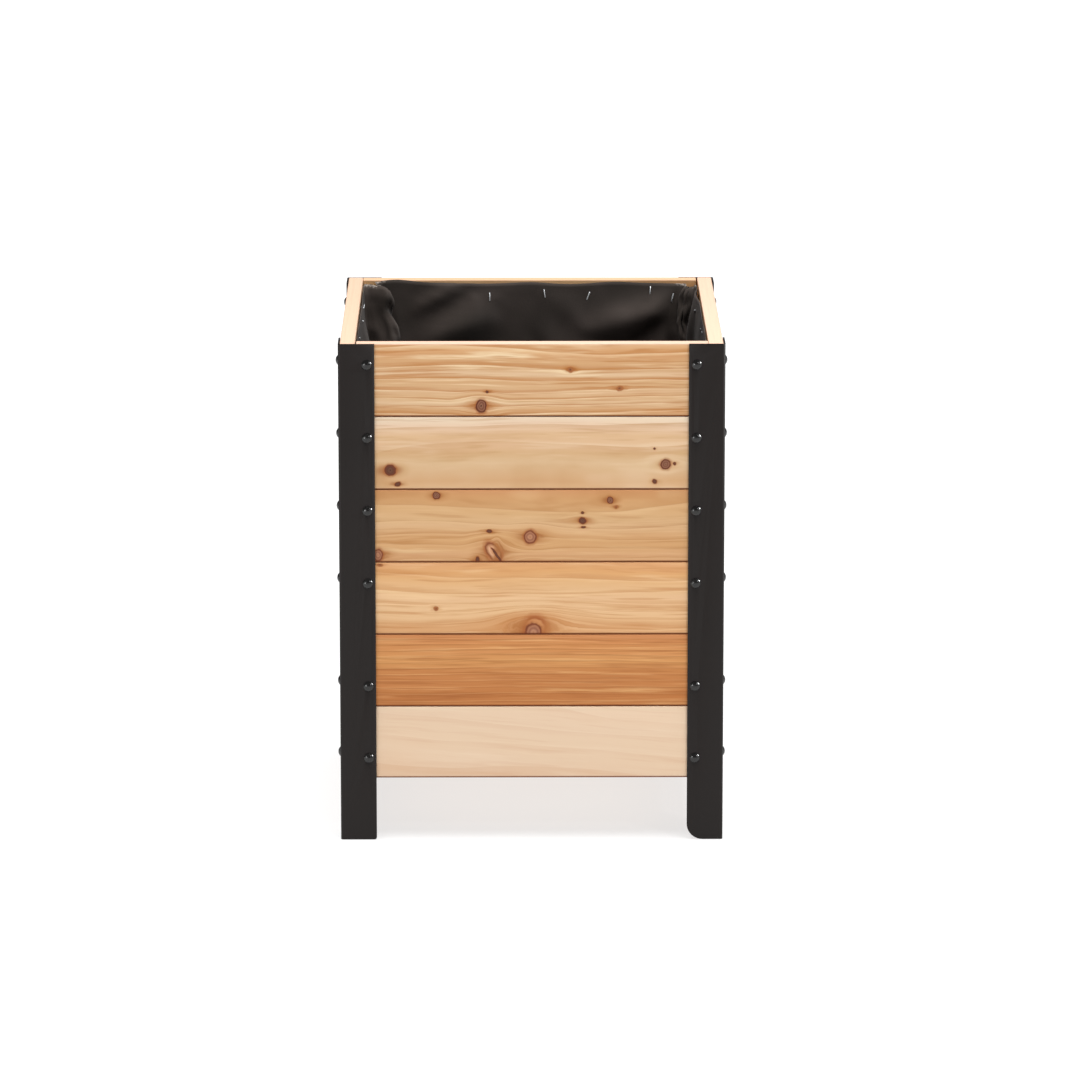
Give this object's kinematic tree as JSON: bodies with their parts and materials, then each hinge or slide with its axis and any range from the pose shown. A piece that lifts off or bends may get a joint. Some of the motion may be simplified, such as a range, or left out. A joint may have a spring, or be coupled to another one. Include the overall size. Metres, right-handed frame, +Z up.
{
  "type": "raised planter",
  "caption": "Square cedar planter box held by folded steel corner legs, with a fabric liner over a slatted floor for soil and plants.",
  "frame": {"origin": "middle of the footprint, on the ground", "axes": "+Z up, +X to the right and -Y towards a person who looks at the front wall"},
  "size_m": [0.4688, 0.4688, 0.6096],
  "materials": {
    "cedar": "planed western red cedar, unfinished, golden with streaks and small knots",
    "pale_cedar": "planed cedar sapwood, unfinished, pale and smooth",
    "red_cedar": "planed cedar heartwood, unfinished, reddish brown and straight grained",
    "powder_coat": "satin black powder coat on folded steel sheet",
    "black_bolt": "glossy black coating on steel",
    "zinc_plate": "bright zinc plate on the nuts, washers and staples",
    "landscape_fabric": "black felted landscape fabric with a slight sheen"
  },
  "bodies": {
    "root": {"board_front_1": "cedar", "board_front_2": "pale_cedar", "board_front_3": "cedar", "board_front_4": "cedar", "board_front_5": "red_cedar", "board_front_6": "pale_cedar", "board_right_1": "cedar", "board_right_2": "pale_cedar", "board_right_3": "cedar", "board_right_4": "cedar", "board_right_5": "red_cedar", "board_right_6": "pale_cedar", "board_back_1": "cedar", "board_back_2": "pale_cedar", "board_back_3": "cedar", "board_back_4": "cedar", "board_back_5": "red_cedar", "board_back_6": "pale_cedar", "board_left_1": "cedar", "board_left_2": "pale_cedar", "board_left_3": "cedar", "board_left_4": "cedar", "board_left_5": "red_cedar", "board_left_6": "pale_cedar", "bolt_front_left_1": "black_bolt", "bolt_front_right_2": "black_bolt", "bolt_front_left_3": "black_bolt", "bolt_front_right_4": "black_bolt", "bolt_front_left_5": "black_bolt", "bolt_front_right_6": "black_bolt", "bolt_right_front_1": "black_bolt", "bolt_right_back_2": "black_bolt", "bolt_right_front_3": "black_bolt", "bolt_right_back_4": "black_bolt", "bolt_right_front_5": "black_bolt", "bolt_right_back_6": "black_bolt", "bolt_back_right_1": "black_bolt", "bolt_back_left_2": "black_bolt", "bolt_back_right_3": "black_bolt", "bolt_back_left_4": "black_bolt", "bolt_back_right_5": "black_bolt", "bolt_back_left_6": "black_bolt", "bolt_left_back_1": "black_bolt", "bolt_left_front_2": "black_bolt", "bolt_left_back_3": "black_bolt", "bolt_left_front_4": "black_bolt", "bolt_left_back_5": "black_bolt", "bolt_left_front_6": "black_bolt", "leg_front_left": "powder_coat", "leg_front_right": "powder_coat", "leg_back_right": "powder_coat", "leg_back_left": "powder_coat", "floor_cleat_left": "pale_cedar", "floor_cleat_right": "pale_cedar", "floor_slat_1": "cedar", "floor_slat_2": "cedar", "floor_slat_3": "cedar", "floor_slat_4": "cedar", "liner": "landscape_fabric"}
  },
  "joints": []
}
